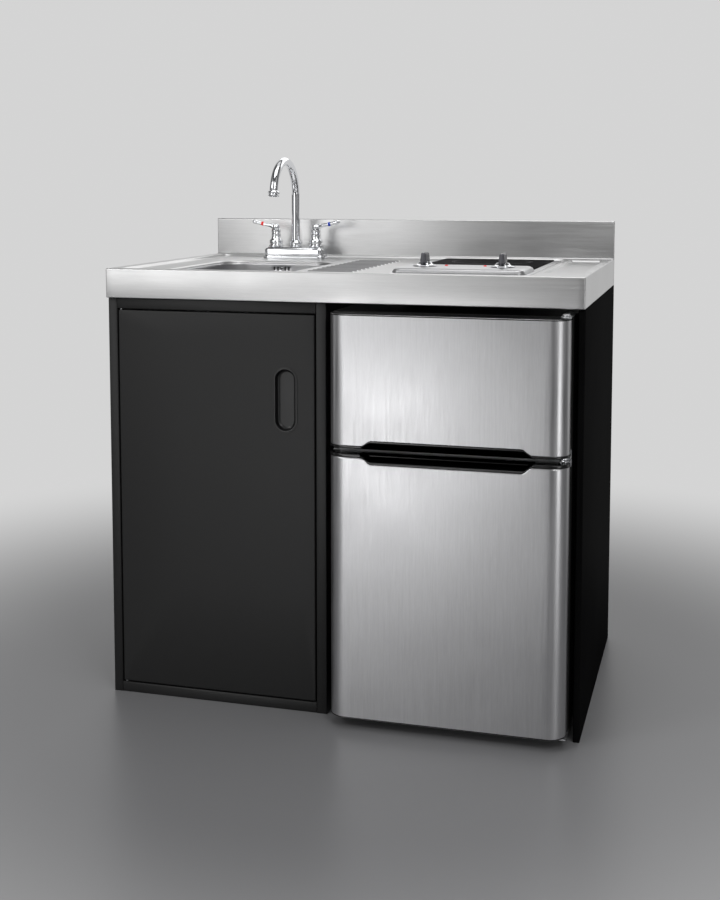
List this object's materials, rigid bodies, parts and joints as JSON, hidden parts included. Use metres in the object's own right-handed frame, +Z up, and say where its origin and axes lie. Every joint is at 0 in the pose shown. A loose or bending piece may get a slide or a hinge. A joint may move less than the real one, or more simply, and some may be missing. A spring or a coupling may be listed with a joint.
{
  "type": "kitchenette unit with sink and hob",
  "caption": "Steel-topped kitchenette: sink with gooseneck tap, drainer and ceramic hob over a cupboard and a two-door under-counter refrigerator.",
  "frame": {"origin": "on the floor, under the middle of the unit's outer box, refrigerator doors included", "axes": "+Z up, +X to the right seen from the front, -Y out of the front"},
  "size_m": [0.99, 0.685, 1.1458],
  "materials": {
    "stainless": "brushed stainless steel, grain along the unit's width",
    "door_stainless": "brushed stainless steel, upright grain",
    "chrome": "bright chrome plate",
    "zinc_steel": "zinc-plated steel",
    "dark_steel": "black enamelled steel",
    "black_coat": "satin black powder coat",
    "black_plastic": "glossy black moulded plastic",
    "white_plastic": "white moulded plastic",
    "knob_grey": "metallised dark grey plastic",
    "rubber": "soft grey rubber",
    "black_glass": "black ceramic glass, polished",
    "shelf_glass": "clear toughened glass"
  },
  "bodies": {
    "unit": {"worktop": "stainless", "sink_bowl": "stainless", "sink_waste": "chrome", "sink_trap": "white_plastic", "overflow_housing": "rubber", "overflow_hose": "rubber", "tap_base": "chrome", "tap_clamp": "zinc_steel", "tap_bonnet_left": "chrome", "tap_bonnet_right": "chrome", "tap_spout_nut": "chrome", "hob_frame": "stainless", "hob_glass": "black_glass", "hob_control_panel": "stainless", "hob_tray": "zinc_steel", "hob_element_front": "dark_steel", "hob_element_rear": "dark_steel", "hob_control_chassis": "zinc_steel", "hob_terminal_box": "black_plastic", "cabinet_left_side": "black_coat", "cabinet_divider": "black_coat", "cabinet_top_rail": "black_coat", "cabinet_bottom_rail": "black_coat", "cabinet_floor": "black_coat", "cabinet_back": "black_coat", "cabinet_right_side": "black_coat", "cabinet_rear_rail": "black_coat", "door_top_pivot": "zinc_steel", "door_bottom_pivot": "zinc_steel", "door_catch": "black_plastic", "fridge_casing": "black_coat", "fridge_liner": "white_plastic", "fridge_shelf_upper": "shelf_glass", "fridge_shelf_lower": "shelf_glass", "fridge_foot_left": "black_plastic", "fridge_foot_right": "black_plastic", "fridge_compressor": "dark_steel", "fridge_hinge_top": "zinc_steel", "fridge_hinge_middle": "zinc_steel", "fridge_hinge_bottom": "zinc_steel"},
    "cupboard_door": {"door_skin": "black_coat", "door_inner_panel": "black_coat", "door_pull_cup": "black_plastic"},
    "freezer_door": {"freezer_door_panel": "door_stainless", "freezer_door_trim": "black_plastic", "freezer_door_liner": "white_plastic", "freezer_door_gasket": "rubber"},
    "fridge_door": {"fridge_door_panel": "door_stainless", "fridge_door_trim": "black_plastic", "fridge_door_liner": "white_plastic", "fridge_door_gasket": "rubber"},
    "left_knob": {"hob_knob_left": "knob_grey", "hob_shaft_left": "zinc_steel"},
    "right_knob": {"hob_knob_right": "knob_grey", "hob_shaft_right": "zinc_steel"},
    "left_lever": {"tap_lever_left": "chrome"},
    "right_lever": {"tap_lever_right": "chrome"},
    "spout": {"tap_spout": "chrome", "tap_aerator": "chrome"},
    "thermostat": {"thermostat_dial": "white_plastic"}
  },
  "joints": [
    {"name": "cupboard_door_hinge", "type": "hinge", "parent": "unit", "child": "cupboard_door", "pos_m": [-0.468, -0.276, 0.42], "axis": [0, 0, -1], "range_deg": [0, 100]},
    {"name": "freezer_door_hinge", "type": "hinge", "parent": "unit", "child": "freezer_door", "pos_m": [0.463, -0.3125, 0.7], "axis": [0, 0, 1], "range_deg": [0, 115]},
    {"name": "fridge_door_hinge", "type": "hinge", "parent": "unit", "child": "fridge_door", "pos_m": [0.463, -0.3125, 0.29], "axis": [0, 0, 1], "range_deg": [0, 115]},
    {"name": "left_knob_turn", "type": "hinge", "parent": "unit", "child": "left_knob", "pos_m": [0.157, -0.1645, 0.92], "axis": [0, 0, -1], "range_deg": [0, 270]},
    {"name": "right_knob_turn", "type": "hinge", "parent": "unit", "child": "right_knob", "pos_m": [0.317, -0.1645, 0.92], "axis": [0, 0, -1], "range_deg": [0, 270]},
    {"name": "left_lever_turn", "type": "hinge", "parent": "unit", "child": "left_lever", "pos_m": [-0.318, 0.2725, 0.98], "axis": [0, 0, 1], "range_deg": [0, 90]},
    {"name": "right_lever_turn", "type": "hinge", "parent": "unit", "child": "right_lever", "pos_m": [-0.216, 0.2725, 0.98], "axis": [0, 0, -1], "range_deg": [0, 90]},
    {"name": "spout_swivel", "type": "hinge", "parent": "unit", "child": "spout", "pos_m": [-0.267, 0.2725, 1], "axis": [0, 0, 1], "range_deg": [-80, 80]},
    {"name": "thermostat_turn", "type": "hinge", "parent": "unit", "child": "thermostat", "pos_m": [0.413, -0.1425, 0.488], "axis": [-1, 0, 0], "range_deg": [0, 300]}
  ]
}
